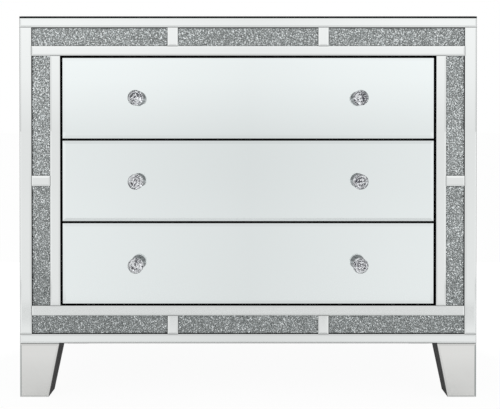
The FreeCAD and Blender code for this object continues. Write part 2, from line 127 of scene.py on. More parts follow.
# What the mirrors show of the room: bands of light on the floor from far to near, and up the walls.
FLOOR_BANDS = (0.8, 0.7, 0.0, 0.2, 1.0, 1.0, 1.0, 0.62, 0.42)
FLOOR_BAND_ENDS = (-1.15, -0.25)
WALL_BANDS = (0.91, 1.04, 1.10, 0.86, 0.80, 0.86, 1.08, 1.10)
WALL_BAND_ENDS = (-0.01, 0.48)

# Where lines of sight to the front mirrors meet behind them, the floor's reach, and plain light.
SIGHT_START = 1.3
FLOOR_REACH = 60.0
FLOOR_WHITE = 0.95
ROOM_LIGHT = 0.92

# Names from the CAD model, axes by number, and distances that count as none.
LEVELS = ("lower", "middle", "upper")
CASE_BODY = "carcass"
STRIPS = ("outer_long_strips", "inner_long_strips", "outer_side_strips", "inner_side_strips")
CHIP_BANDS = {"long_band_chips": "crystal_long_bands", "side_band_chips": "crystal_side_bands"}
X_AXIS = 0
Z_AXIS = 2
TOUCH = 0.0001
SAME_POINT = 1e-6

# Axes that mirror plates face along, and the kinds of sockets in the shader groups.
FACING_FRONT = (0, 1, 0)
FACING_SIDE = (1, 0, 0)
FACING_UP = (0, 0, 1)
NUMBER = "NodeSocketFloat"
VECTOR = "NodeSocketVector"


def new_tree(name):
    """An empty material and the node tree behind it."""
    material = bpy.data.materials.new(name)
    material.use_nodes = True
    material.node_tree.nodes.clear()
    return material, material.node_tree


def add(tree, kind, **settings):
    """A node of the given kind with its plain settings."""
    made = tree.nodes.new("ShaderNode" + kind)
    for name, setting in settings.items():
        setattr(made, name, setting)
    return made


def feed(tree, target, socket, source):
    """Give a socket a plain value, or link another node's socket into it."""
    if isinstance(source, bpy.types.NodeSocket):
        tree.links.new(source, target.inputs[socket])
    else:
        target.inputs[socket].default_value = source


def feed_all(tree, target, sources):
    """Feed several sockets, named with an underscore for each space."""
    for name, source in sources.items():
        feed(tree, target, name.replace("_", " "), source)


def maths(tree, operation, first, second=0.0, clamp=False):
    """The result of one sum on one or two values."""
    made = add(tree, "Math", operation=operation, use_clamp=clamp)
    feed(tree, made, 0, first)
    feed(tree, made, 1, second)
    return made.outputs[0]


def choose(tree, factor, first, second):
    """A value between two others."""
    made = add(tree, "Mix", data_type="FLOAT")
    feed(tree, made, "Factor", factor)
    feed(tree, made, 2, first)
    feed(tree, made, 3, second)
    return made.outputs[0]


def blend(tree, factor, first, second):
    """A colour between two others."""
    made = add(tree, "Mix", data_type="RGBA")
    feed(tree, made, "Factor", factor)
    feed(tree, made, 6, first)
    feed(tree, made, 7, second)
    return made.outputs[2]


def spread(tree, value, low, high, to_low=0.0, to_high=1.0):
    """A value carried from one range to another, held at the ends."""
    made = add(tree, "MapRange", clamp=True)
    for socket, source in enumerate((value, low, high, to_low, to_high)):
        feed(tree, made, socket, source)
    return made.outputs[0]


def steps(tree, value, low, high, levels):
    """Evenly spaced levels, one after the next as a value goes from low to high."""
    made = add(tree, "ValToRGB")
    feed(tree, made, "Fac", spread(tree, value, low, high))
    stops = made.color_ramp.elements
    while len(stops) < len(levels):
        stops.new(1.0)
    for index, level in enumerate(levels):
        stops[index].position = index / (len(levels) - 1)
        stops[index].color = (level, level, level, 1)
    return made.outputs["Color"]


def axes(tree, vector):
    """The three parts of a point or a direction."""
    made = add(tree, "SeparateXYZ")
    feed(tree, made, "Vector", vector)
    return made.outputs


def object_point(tree, scale=(1.0, 1.0, 1.0)):
    """A point on the piece, stretched along each axis."""
    place = add(tree, "TexCoord")
    mapping = add(tree, "Mapping")
    feed(tree, mapping, "Vector", place.outputs["Object"])
    feed(tree, mapping, "Scale", scale)
    return mapping.outputs[0]


def noise(tree, vector, scale, detail=2.0, roughness=0.5):
    """Soft random mottling."""
    made = add(tree, "TexNoise")
    feed(tree, made, "Vector", vector)
    feed(tree, made, "Scale", scale)
    feed(tree, made, "Detail", detail)
    feed(tree, made, "Roughness", roughness)
    return made.outputs[0]


def bump(tree, height, strength, distance):
    """A surface normal raised by a height."""
    made = add(tree, "Bump")
    feed(tree, made, "Strength", strength)
    feed(tree, made, "Distance", distance)
    feed(tree, made, "Height", height)
    return made.outputs[0]


def put_out(tree, shader, kind="OutputMaterial"):
    """Join a shader to the output of its tree."""
    output = add(tree, kind)
    tree.links.new(shader.outputs[0], output.inputs[0])


def surface(tree, **sockets):
    """A principled surface joined to the material's output."""
    shader = add(tree, "BsdfPrincipled")
    feed_all(tree, shader, sockets)
    put_out(tree, shader)


def new_group(name, inputs, outputs):
    """An empty shader node group with named sockets, and its two ends."""
    tree = bpy.data.node_groups.new(name, "ShaderNodeTree")
    for label, kind in inputs:
        tree.interface.new_socket(label, in_out="INPUT", socket_type=kind)
    for label, kind in outputs:
        tree.interface.new_socket(label, in_out="OUTPUT", socket_type=kind)
    return tree, tree.nodes.new("NodeGroupInput"), tree.nodes.new("NodeGroupOutput")


def place_group(tree, group, **values):
    """A node group set into a material with its own values."""
    made = tree.nodes.new("ShaderNodeGroup")
    made.node_tree = group
    feed_all(tree, made, values)
    return made.outputs


def wipe_marks():
    """Faint streaks and smudges that a duster leaves on polished faces."""
    tree, start, end = new_group("wipe marks", [("Streak Scale", NUMBER)], [("Marks", NUMBER)])
    streaks = noise(tree, object_point(tree, (1.0, 1.0, 6.0)), start.outputs["Streak Scale"], 4.0, 0.6)
    smudges = noise(tree, object_point(tree), 9.0, 3.0, 0.55)
    marks = maths(tree, "MULTIPLY", spread(tree, streaks, 0.45, 0.75), spread(tree, smudges, 0.4, 0.7))
    tree.links.new(marks, end.inputs["Marks"])
    return tree


def silvered_face():
    """Tells a plate's silvered face from its bare edge, and finds the bevels that face down or outwards,
    which get painted shade.
    """
    inputs = [("Facing", VECTOR)]
    for label in ("Edge Slope", "Shade Up To", "Down Shade", "Outer Shade"):
        inputs.append((label, NUMBER))
    tree, start, end = new_group("silvered face", inputs, [("Face", NUMBER), ("Bevel", NUMBER)])
    geometry = add(tree, "NewGeometry").outputs
    across = add(tree, "VectorMath", operation="DOT_PRODUCT")
    feed(tree, across, 0, geometry["Normal"])
    feed(tree, across, 1, start.outputs["Facing"])
    size = maths(tree, "ABSOLUTE", across.outputs["Value"])
    face = maths(tree, "GREATER_THAN", size, start.outputs["Edge Slope"])
    tree.links.new(face, end.inputs["Face"])
    slope = axes(tree, geometry["Normal"])
    highest = start.outputs["Shade Up To"]
    downward = spread(tree, slope["Z"], BEVEL_LEAN_DOWN, highest, start.outputs["Down Shade"], 0.0)
    outward = maths(tree, "MULTIPLY", axes(tree, geometry["Position"])["X"], slope["X"])
    outer = maths(tree, "GREATER_THAN", outward, BEVEL_LEAN_OUT)
    outer = maths(tree, "MULTIPLY", outer, start.outputs["Outer Shade"])
    turned = maths(tree, "MAXIMUM", downward, outer)
    bevel = maths(tree, "MULTIPLY", maths(tree, "LESS_THAN", size, BEVEL_FACING), turned)
    tree.links.new(bevel, end.inputs["Bevel"])
    return tree


def paint_skin():
    """The fine ripple and the uneven sheen of sprayed paint."""
    outputs = [("Ripple", NUMBER), ("Sheen Patches", NUMBER)]
    tree, start, end = new_group("paint skin", [("Ripple Scale", NUMBER)], outputs)
    ripple = noise(tree, object_point(tree), start.outputs["Ripple Scale"], 3.0)
    patches = noise(tree, object_point(tree), 14.0, 4.0, 0.6)
    tree.links.new(ripple, end.inputs["Ripple"])
    tree.links.new(patches, end.inputs["Sheen Patches"])
    return tree


def shader_groups():
    """The effects that several finishes share."""
    return {"marks": wipe_marks(), "face": silvered_face(), "skin": paint_skin()}


def mirror_glass(name, facing, tones, groups, shade=(0.10, 0.22), **slopes):
    """Silvered glass with a faint cast, bevels greyed with painted shade where they face down or
    outwards, and a dark polished edge.
    """
    material, tree = new_tree(name)
    settings = {"Edge_Slope": 0.6, "Shade_Up_To": 0.05, "Down_Shade": 1.0, "Outer_Shade": 0.0}
    settings.update(slopes)
    parts = place_group(tree, groups["face"], Facing=facing, **settings)
    face = parts["Face"]
    marks = place_group(tree, groups["marks"], Streak_Scale=26.0)["Marks"]
    cast = noise(tree, object_point(tree), 3.0)
    # Painted shade: bevels that face down or outwards are greyed towards a dark silver.
    painted_bevel_shade = maths(tree, "MULTIPLY", parts["Bevel"], spread(tree, cast, 0.3, 0.7, *shade))
    silver = blend(tree, painted_bevel_shade, blend(tree, cast, *tones), (0.36, 0.38, 0.375, 1))
    edge = blend(tree, cast, (0.004, 0.005, 0.0045, 1), (0.010, 0.012, 0.011, 1))
    sheen = maths(tree, "MULTIPLY", marks, 0.05)
    waves = noise(tree, object_point(tree), 4.0, 1.0)
    surface(
        tree,
        Base_Color=blend(tree, face, edge, silver),
        Metallic=face,
        Roughness=maths(tree, "ADD", sheen, spread(tree, face, 0.0, 1.0, 0.12, 0.012)),
        Normal=bump(tree, waves, 0.04, 0.002),
        Specular_IOR_Level=0.15,
    )
    return material


def crystal_bed():
    """The silvery glue and dust that the chips lie in."""
    material, tree = new_tree("crystal bed")
    grains = noise(tree, object_point(tree), 900.0, 3.0, 0.7)
    dull = (0.07, 0.077, 0.076, 1)
    bright = (0.40, 0.421, 0.415, 1)
    surface(
        tree,
        Base_Color=blend(tree, spread(tree, grains, 0.35, 0.65), dull, bright),
        Metallic=spread(tree, grains, 0.4, 0.6),
        Roughness=spread(tree, grains, 0.3, 0.7, 0.5, 0.25),
        Normal=bump(tree, grains, 0.8, 0.001),
    )
    return material


def crystal_chips():
    """Bright glass chips, each with a tone of its own, duller in patches, and darker towards the floor
    and lighter towards the top as painted light from above.
    """
    material, tree = new_tree("crystal chips")
    own = add(tree, "Attribute", attribute_name="chip_tone").outputs["Fac"]
    # Painted light: the chips lighten with height, as if lit from above.
    height = spread(tree, axes(tree, object_point(tree))["Z"], 0.14, 0.50, -0.18, 0.22)
    patches = spread(tree, noise(tree, object_point(tree), 2.0, 1.0), 0.35, 0.65, -0.1, 0.1)
    tone = maths(tree, "ADD", own, maths(tree, "ADD", height, patches), clamp=True)
    flaws = noise(tree, object_point(tree), 1500.0)
    colour = blend(tree, tone, (0.35, 0.379, 0.381, 1), (0.95, 0.985, 0.99, 1))
    surface(
        tree,
        Base_Color=blend(tree, spread(tree, flaws, 0.55, 0.8), colour, (0.95, 0.97, 0.97, 1)),
        Metallic=spread(tree, tone, 0.0, 1.0, 0.75, 1.0),
        Roughness=spread(tree, flaws, 0.3, 0.7, 0.18, 0.34),
        Coat_Weight=0.4,
        Coat_Roughness=0.12,
    )
    return material


def black_paint(groups):
    """Satin black paint on the frame and the drawer fronts' boards."""
    material, tree = new_tree("black frame paint")
    skin = place_group(tree, groups["skin"], Ripple_Scale=420.0)
    patches = skin["Sheen Patches"]
    surface(
        tree,
        Base_Color=blend(tree, patches, (0.010, 0.010, 0.011, 1), (0.020, 0.020, 0.021, 1)),
        Roughness=spread(tree, patches, 0.3, 0.7, 0.42, 0.6),
        Normal=bump(tree, skin["Ripple"], 0.15, 0.0006),
        Specular_IOR_Level=0.2,
    )
    return material


def charcoal_paint(groups):
    """Charcoal paint on the legs, brushed downwards."""
    material, tree = new_tree("charcoal leg paint")
    skin = place_group(tree, groups["skin"], Ripple_Scale=300.0)
    strokes = noise(tree, object_point(tree, (240.0, 240.0, 14.0)), 1.0, 4.0, 0.6)
    surface(
        tree,
        Base_Color=blend(tree, strokes, (0.008, 0.0078, 0.0076, 1), (0.024, 0.0236, 0.0230, 1)),
        Roughness=spread(tree, skin["Sheen Patches"], 0.3, 0.7, 0.40, 0.55),
        Normal=bump(tree, strokes, 0.25, 0.0006),
        Specular_IOR_Level=0.08,
    )
    return material


def grey_foil(name, dark, light):
    """Dark grey foil with a faint printed grain on the case boards and the drawer boxes."""
    material, tree = new_tree(name)
    grain = noise(tree, object_point(tree, (60.0, 4.0, 60.0)), 3.0, 5.0, 0.65)
    pores = noise(tree, object_point(tree, (400.0, 20.0, 400.0)), 2.0)
    surface(
        tree,
        Base_Color=blend(tree, spread(tree, grain, 0.3, 0.7), dark, light),
        Roughness=spread(tree, grain, 0.3, 0.7, 0.42, 0.58),
        Normal=bump(tree, pores, 0.2, 0.0004),
    )
    return material


def hardboard():
    """Pressed fibre board of the back, thinly painted."""
    material, tree = new_tree("back hardboard")
    fibres = noise(tree, object_point(tree, (1.0, 1.0, 2.5)), 260.0, 4.0, 0.7)
    blotches = noise(tree, object_point(tree), 6.0, 3.0)
    paint = blend(tree, blotches, (0.060, 0.058, 0.055, 1), (0.088, 0.085, 0.080, 1))
    surface(
        tree,
        Base_Color=blend(tree, spread(tree, fibres, 0.5, 0.75), paint, (0.13, 0.115, 0.098, 1)),
        Roughness=spread(tree, fibres, 0.3, 0.7, 0.62, 0.8),
        Normal=bump(tree, fibres, 0.35, 0.0005),
    )
    return material


def drawer_felt():
    """Short-napped dark lining on the drawer bottoms."""
    material, tree = new_tree("drawer felt")
    nap = noise(tree, object_point(tree), 1400.0, 3.0, 0.7)
    lay = noise(tree, object_point(tree, (1.0, 2.0, 1.0)), 18.0, 3.0)
    colour = blend(tree, lay, (0.022, 0.022, 0.025, 1), (0.045, 0.045, 0.050, 1))
    surface(
        tree,
        Base_Color=blend(tree, spread(tree, nap, 0.5, 0.8), colour, (0.075, 0.075, 0.082, 1)),
        Roughness=spread(tree, nap, 0.2, 0.8, 0.85, 1.0),
        Normal=bump(tree, nap, 0.5, 0.0006),
        Sheen_Weight=0.4,
        Sheen_Roughness=0.5,
    )
    return material


def zinc_steel(name, streak):
    """Zinc-plated steel with drawing lines and a cloudy passivated film."""
    material, tree = new_tree(name)
    lines = noise(tree, object_point(tree, streak), 1.0, 4.0, 0.6)
    clouds = noise(tree, object_point(tree), 30.0, 3.0)
    blue_film = (0.52, 0.535, 0.55, 1)
    warm_film = (0.66, 0.655, 0.63, 1)
    surface(
        tree,
        Base_Color=blend(tree, spread(tree, clouds, 0.35, 0.7), blue_film, warm_film),
        Metallic=1.0,
        Roughness=spread(tree, lines, 0.3, 0.7, 0.22, 0.4),
        Normal=bump(tree, lines, 0.12, 0.0003),
    )
    return material


def cut_glass(groups):
    """Clear cut glass of the knobs."""
    material, tree = new_tree("knob cut glass")
    marks = place_group(tree, groups["marks"], Streak_Scale=60.0)["Marks"]
    clarity = noise(tree, object_point(tree), 120.0)
    surface(
        tree,
        Base_Color=blend(tree, clarity, (0.955, 0.985, 0.98, 1), (1.0, 1.0, 1.0, 1)),
        Roughness=maths(tree, "MULTIPLY", marks, 0.02),
        Transmission_Weight=1.0,
        IOR=1.5,
    )
    return material


def polished_chrome(groups):
    """Polished chrome of the knob feet and screws."""
    material, tree = new_tree("knob chrome")
    marks = place_group(tree, groups["marks"], Streak_Scale=90.0)["Marks"]
    clouds = noise(tree, object_point(tree), 60.0)
    surface(
        tree,
        Base_Color=blend(tree, clouds, (0.42, 0.42, 0.43, 1), (0.54, 0.54, 0.55, 1)),
        Metallic=1.0,
        Roughness=maths(tree, "ADD", maths(tree, "MULTIPLY", marks, 0.12), 0.05),
    )
    return material


def silver_foil():
    """Foil behind the knob glass, painted bright and dark by turns as the glints and shade of crumpled
    foil.
    """
    material, tree = new_tree("knob foil")
    creases = noise(tree, object_point(tree), 700.0, 3.0, 0.6)
    painted_glint_cells = add(tree, "TexVoronoi")
    feed(tree, painted_glint_cells, "Vector", object_point(tree))
    feed(tree, painted_glint_cells, "Scale", 560.0)
    tone = add(tree, "SeparateColor")
    feed(tree, tone, "Color", painted_glint_cells.outputs["Color"])
    # Painted glints and shade: each cell of the foil is near black or near white.
    shade = spread(tree, tone.outputs[0], 0.34, 0.72)
    surface(
        tree,
        Base_Color=blend(tree, shade, (0.034, 0.031, 0.046, 1), (0.90, 0.905, 0.93, 1)),
        Metallic=1.0,
        Roughness=spread(tree, creases, 0.3, 0.7, 0.05, 0.14),
        Normal=bump(tree, creases, 0.2, 0.0004),
    )
    return material


def dress(material, *nodes):
    """Give CAD nodes their finish."""
    for node in nodes:
        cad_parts[node].material_slots[0].material = material


def dress_case(groups, black):
    """Finishes of every piece that the CAD model brings."""
    dress_mirrors(groups)
    dress(crystal_bed(), *CHIP_BANDS.values())
    dress(black, "front_top_rail", "front_bottom_rail", "drawer_rails")
    dress(black, "front_left_stile", "front_right_stile")
    board = grey_foil("case board foil", (0.030, 0.030, 0.032, 1), (0.048, 0.048, 0.050, 1))
    dress(board, "base_board", "top_board", "left_side_panel", "right_side_panel")
    dress(board, "left_inner_panel", "right_inner_panel")
    dress(hardboard(), "back_panel")
    charcoal = charcoal_paint(groups)
    dress(charcoal, "front_left_leg", "front_right_leg", "rear_left_leg", "rear_right_leg")
    dress(zinc_steel("bolt zinc", (60.0, 60.0, 900.0)), "leg_bolts")
    steel = zinc_steel("runner zinc", (900.0, 20.0, 900.0))
    dress(steel, "cabinet_runners")
    dress_drawers(groups, black, steel)


def dress_mirrors(groups):
    """Silvered glass of the frame, the top, the ends and the legs."""
    strip = mirror_glass("strip mirror glass", FACING_FRONT, STRIP_SILVER, groups)
    dress(strip, *STRIPS, "divider_tiles")
    top = mirror_glass("top mirror glass", FACING_UP, DRAWER_SILVER, groups, Edge_Slope=0.98)
    dress(top, "top_mirror")
    end = mirror_glass("end mirror glass", FACING_SIDE, DRAWER_SILVER, groups)
    dress(end, "left_side_mirror", "right_side_mirror")
    # Painted shade on the legs: a greyer silver, and dark outer and lower bevels.
    shaded = {"tones": LEG_SILVER_SHADED, "groups": groups, "shade": (0.75, 1.0)}
    shaded.update({"Shade_Up_To": -0.1, "Down_Shade": 0.3})
    leg_front = mirror_glass("leg front mirror glass", FACING_FRONT, Outer_Shade=1.0, **shaded)
    dress(leg_front, "leg_front_mirrors")
    dress(mirror_glass("leg side mirror glass", FACING_SIDE, **shaded), "leg_side_mirrors")


def dress_drawers(groups, black, steel):
    """Finishes of the three drawers and their runners and knobs."""
    front = mirror_glass("drawer mirror glass", FACING_FRONT, DRAWER_SILVER, groups)
    box_foil = grey_foil("drawer box foil", (0.040, 0.040, 0.043, 1), (0.062, 0.062, 0.065, 1))
    felt = drawer_felt()
    stone = cut_glass(groups)
    chrome = polished_chrome(groups)
    for level in LEVELS:
        dress(front, level + "_drawer_front_mirror")
        dress(black, level + "_drawer_front_board")
        dress(box_foil, level + "_drawer_left_side", level + "_drawer_right_side", level + "_drawer_back")
        dress(felt, level + "_drawer_bottom")
        dress(steel, level + "_drawer_runners", level + "_telescopic_members")
        dress(stone, level + "_knob_crystals")
        dress(chrome, level + "_knob_fittings")


def as_mesh(name, mesh):
    """Turn a mesh being built into a finished one."""
    bmesh.ops.recalc_face_normals(mesh, faces=mesh.faces)
    data = bpy.data.meshes.new(name)
    mesh.to_mesh(data)
    mesh.free()
    return data


def settle(name, mesh, material, body):
    """Put a finished mesh in the scene, riding on a body."""
    piece = bpy.data.objects.new(name, mesh)
    bpy.context.scene.collection.objects.link(piece)
    mesh.materials.append(material)
    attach(piece, body)


def front_y():
    """Where the faces of the mirror strips lie, from front to back."""
    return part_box("outer_long_strips")[0].y


def box_round(points):
    """The lowest and highest corner of the box round some points."""
    low = Vector([min(point[axis] for point in points) for axis in range(3)])
    high = Vector([max(point[axis] for point in points) for axis in range(3)])
    return low, high


def stretches(node):
    """The lowest and highest corner of each separate solid in a CAD node."""
    mesh = bmesh.new()
    mesh.from_mesh(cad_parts[node].data)
    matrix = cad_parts[node].matrix_world
    bmesh.ops.remove_doubles(mesh, verts=mesh.verts, dist=SAME_POINT)
    waiting = set(mesh.verts)
    boxes = []
    while waiting:
        island = {waiting.pop()}
        fresh = list(island)
        while fresh:
            corner = fresh.pop()
            near = {link.other_vert(corner) for link in corner.link_edges} & waiting
            waiting -= near
            island |= near
            fresh.extend(near)
        boxes.append(box_round([matrix @ vert.co for vert in island]))
    mesh.free()
    return sorted(boxes, key=lambda box: tuple(box[0]))


def stray(rng):
    """A small random share, either way."""
    return rng.uniform(-CHIP_STRAY, CHIP_STRAY)


def chip(rng, centre, face_y):
    """Corners and faces of one glass chip: an uneven foot and a tilted, smaller table."""
    count = rng.choice(CHIP_CORNERS)
    radius = rng.uniform(*CHIP_RADIUS)
    height = rng.uniform(*CHIP_HEIGHT)
    turn = rng.uniform(0, math.tau)
    table = rng.uniform(*CHIP_TABLE)
    shift = Vector((stray(rng), 0, stray(rng))) * radius
    lean_x = math.tan(rng.uniform(-CHIP_TILT, CHIP_TILT))
    lean_z = math.tan(rng.uniform(-CHIP_TILT, CHIP_TILT))
    foot = []
    crown = []
    for index in range(count):
        angle = turn + math.tau * (index + stray(rng)) / count
        reach = radius * rng.uniform(*CHIP_REACH)
        spot = Vector((math.cos(angle), 0, math.sin(angle))) * reach
        foot.append(centre + spot + Vector((0, CHIP_SINK, 0)))
        edge = spot * table + shift
        rise = min(CHIP_HEIGHT[1], height + edge.x * lean_x + edge.z * lean_z)
        crown.append(centre + edge - Vector((0, max(CHIP_LEAST_HEIGHT, rise), 0)))
    for point in foot + crown:
        point.y = max(point.y, face_y)
    sides = [(i, (i + 1) % count, count + (i + 1) % count, count + i) for i in range(count)]
    return foot + crown, sides + [tuple(range(count, 2 * count))]


def outer_edge(low, high):
    """The axis and the direction in which a crystal stretch's outer edge lies."""
    axis = X_AXIS if high.z - low.z > high.x - low.x else Z_AXIS
    outwards = low[axis] + high[axis] > cad_box[0][axis] + cad_box[1][axis]
    return axis, 1 if outwards else -1


def chip_room(low, high):
    """The corners between which chips lie, clear of the mirror strips and of the dark line of joint and
    painted shade.
    """
    margin = Vector((CHIP_MARGIN, 0, CHIP_MARGIN))
    room_low = low + margin
    room_high = high - margin
    axis, way = outer_edge(low, high)
    outer = room_high if way > 0 else room_low
    outer[axis] -= way * CRYSTAL_JOINT_AND_SHADE_WIDTH
    return room_low, room_high


def clamp_to(point, low, high):
    """Keep a chip's corner between two others."""
    across = min(max(point.x, low.x), high.x)
    up = min(max(point.z, low.z), high.z)
    return Vector((across, point.y, up))


def chip_spots(rng, low, high):
    """Loosely even places for the chips on one stretch of a band."""
    row_step = CHIP_PITCH * math.sqrt(3) / 2
    rows = max(1, round((high.z - low.z) / row_step))
    columns = max(1, round((high.x - low.x) / CHIP_PITCH))
    for row in range(rows):
        for column in range(columns):
            across = (column + 0.25 + 0.5 * (row % 2) + stray(rng)) / columns
            up = (row + 0.5 + stray(rng)) / rows
            yield Vector((low.x + across * (high.x - low.x), low.y, low.z + up * (high.z - low.z)))


def chips_on(name, node):
    """A close bed of crushed crystal over each stretch of a band."""
    rng = random.Random(name)
    face_y = front_y() + CHIP_BEHIND_STRIPS
    points = []
    faces = []
    tones = []
    for low, high in stretches(node):
        room = chip_room(low, high)
        for centre in chip_spots(rng, low, high):
            corners, sides = chip(rng, centre, face_y)
            faces += [tuple(len(points) + index for index in side) for side in sides]
            points += [tuple(clamp_to(corner, *room)) for corner in corners]
            tones += [rng.random()] * len(sides)
    mesh = bpy.data.meshes.new(name)
    mesh.from_pydata(points, [], faces)
    mesh.attributes.new("chip_tone", "FLOAT", "FACE").data.foreach_set("value", tones)
    return mesh


def crushed_crystal():
    """Chips over the crystal beds above, below and beside the drawers."""
    material = crystal_chips()
    for name, node in CHIP_BANDS.items():
        settle(name, chips_on(name, node), material, CASE_BODY)


def bar(mesh, start, end, section):
    """A straight bar between two points, with the given corners round its section."""
    near = [mesh.verts.new(start + corner) for corner in section]
    far = [mesh.verts.new(end + corner) for corner in section]
    mesh.faces.new(near)
    mesh.faces.new(far)
    for index in range(len(section)):
        after = (index + 1) % len(section)
        mesh.faces.new((near[index], near[after], far[after], far[index]))


def joint_line(mesh, across, place, span, sides):
    """A fine dark line at the foot of the bevels, reaching the given distances to either side."""
    rise = max(sides) * STRIP_BEVEL_DEPTH / STRIP_BEVEL_WIDTH + JOINT_LIFT
    foot_y = front_y() + STRIP_BEVEL_DEPTH
    ends = []
    for reach in span:
        spot = Vector((reach, foot_y, reach))
        spot[across] = place
        ends.append(spot)
    section = [Vector((0, 0, 0)), Vector((0, -rise, 0)), Vector((0, -rise, 0))]
    section[1][across] = -sides[0]
    section[2][across] = sides[1]
    bar(mesh, *ends, section)


def strip_joints(mesh):
    """Lines in the grooves in which two mirror plates meet."""
    plates = [plate for node in STRIPS + ("divider_tiles",) for plate in stretches(node)]
    for first, second in itertools.permutations(plates, 2):
        for across, along in ((X_AXIS, Z_AXIS), (Z_AXIS, X_AXIS)):
            low = max(first[0][along], second[0][along])
            high = min(first[1][along], second[1][along])
            if abs(first[1][across] - second[0][across]) < TOUCH and high - low > TOUCH:
                joint_line(mesh, across, first[1][across], (low, high), (HALF_JOINT, HALF_JOINT))


def outline_joints(mesh):
    """Lines along the front's two sides, under its top, and along its lower edge between the legs."""
    low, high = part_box("outer_long_strips")
    joint_line(mesh, X_AXIS, low.x, (low.z, high.z), (0, HALF_JOINT))
    joint_line(mesh, X_AXIS, high.x, (low.z, high.z), (HALF_JOINT, 0))
    joint_line(mesh, Z_AXIS, high.z, (low.x, high.x), (HALF_JOINT, 0))
    left_leg, right_leg = stretches("leg_front_mirrors")
    joint_line(mesh, Z_AXIS, low.z, (left_leg[1].x, right_leg[0].x), (0, JOINT_WIDTH))


def opening_joints(mesh):
    """Lines round the drawers, along the strips above and beside them, and wider on the right."""
    left, right = stretches("inner_side_strips")
    joint_line(mesh, X_AXIS, left[1].x, (left[0].z, left[1].z), (HALF_JOINT, 0))
    joint_line(mesh, X_AXIS, right[0].x, (right[0].z, right[1].z), (0, JOINT_WIDTH))
    joint_line(mesh, Z_AXIS, left[1].z, (left[1].x, right[0].x), (0, HALF_JOINT))


def crystal_joints_and_shade(mesh):
    """Lines along the crystal's outer edges, under the edge of the outer strips: partly a dark joint and
    partly painted shade of the strips' edges.
    """
    for node in CHIP_BANDS.values():
        for low, high in stretches(node):
            axis, way = outer_edge(low, high)
            outer = high if way > 0 else low
            start = low.copy()
            end = Vector((high.x, low.y, high.z))
            start[axis] = outer[axis]
            end[axis] = outer[axis]
            # Painted shade in part: a dark line on the crystal's outer edge only.
            section = [Vector((0, 0, 0)), Vector((0, 0, 0)), Vector((0, -CRYSTAL_JOINT_AND_SHADE_HEIGHT, 0))]
            section[1][axis] = -way * CRYSTAL_JOINT_AND_SHADE_WIDTH
            bar(mesh, start, end, section)


def joint_lines(material):
    """The black frame where it shows between the mirror plates and round the front, and by the crystal,
    where the line is partly painted shade.
    """
    mesh = bmesh.new()
    strip_joints(mesh)
    outline_joints(mesh)
    opening_joints(mesh)
    crystal_joints_and_shade(mesh)
    settle("joint_lines", as_mesh("joint_lines", mesh), material, CASE_BODY)


def foil_rosette(mesh, centre):
    """A pleated foil rosette, its pleats alternating towards and away from the glass."""
    hub = mesh.verts.new(centre)
    rims = []
    for index in range(2 * FOIL_PLEATS):
        angle = math.pi * index / FOIL_PLEATS
        lift = -FOIL_LIFT if index % 2 else 0.0
        spoke = Vector((math.cos(angle) * FOIL_RADIUS, lift, math.sin(angle) * FOIL_RADIUS))
        rims.append(mesh.verts.new(centre + spoke))
    for index, rim in enumerate(rims):
        mesh.faces.new((hub, rim, rims[(index + 1) % len(rims)]))


def knob_foils():
    """Foil rosettes behind the six cut-glass knobs."""
    material = silver_foil()
    for level in LEVELS:
        mesh = bmesh.new()
        for low, high in stretches(level + "_knob_crystals"):
            foil_rosette(mesh, Vector(((low.x + high.x) / 2, high.y - FOIL_GAP, (low.z + high.z) / 2)))
        name = level + "_knob_foils"
        settle(name, as_mesh(name, mesh), material, level + "_drawer")


def pan_head(mesh, seat, out, across):
    """A pan-head screw with a cross recess, standing out from its seat."""
    up = out.cross(across)
    arm_step = SCREW_SIDES // RECESS_ARMS
    cross = [RECESS_WAIST if index % arm_step else RECESS_REACH for index in range(SCREW_SIDES)]
    rings = [[(reach, rise)] * SCREW_SIDES for reach, rise in SCREW_PROFILE]
    rings.append([(reach, 1.0) for reach in cross])
    rings.append([(reach * RECESS_TAPER, RECESS_FLOOR) for reach in cross])
    made = []
    for ring in rings:
        corners = []
        for index, (reach, rise) in enumerate(ring):
            angle = math.tau * index / SCREW_SIDES
            spoke = across * math.cos(angle) + up * math.sin(angle)
            spot = seat + spoke * reach * SCREW_RADIUS + out * rise * SCREW_HEIGHT
            corners.append(mesh.verts.new(spot))
        made.append(corners)
    for low, high in zip(made, made[1:]):
        for index in range(SCREW_SIDES):
            after = (index + 1) % SCREW_SIDES
            mesh.faces.new((low[index], low[after], high[after], high[index]))
    mesh.faces.new(made[-1])


def even_places(low, high, step):
    """Evenly spread places between two ends, about a step apart."""
    count = max(2, round((high - low) / step) + 1)
    return [low + (high - low) * index / (count - 1) for index in range(count)]


def back_screws(material):
    """Screws that hold the back panel to the case, all round its edge."""
    low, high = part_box("back_panel")
    left = low.x + BACK_SCREW_INSET
    right = high.x - BACK_SCREW_INSET
    bottom = low.z + BACK_SCREW_INSET
    top = high.z - BACK_SCREW_INSET
    spots = []
    for x in even_places(left, right, BACK_SCREW_STEP_ACROSS):
        spots += [(x, bottom), (x, top)]
    for z in even_places(bottom, top, BACK_SCREW_STEP_UP)[1:-1]:
        spots += [(left, z), (right, z)]
    mesh = bmesh.new()
    for x, z in spots:
        pan_head(mesh, Vector((x, high.y, z)), Vector((0, 1, 0)), Vector((1, 0, 0)))
    settle("back_screws", as_mesh("back_screws", mesh), material, CASE_BODY)


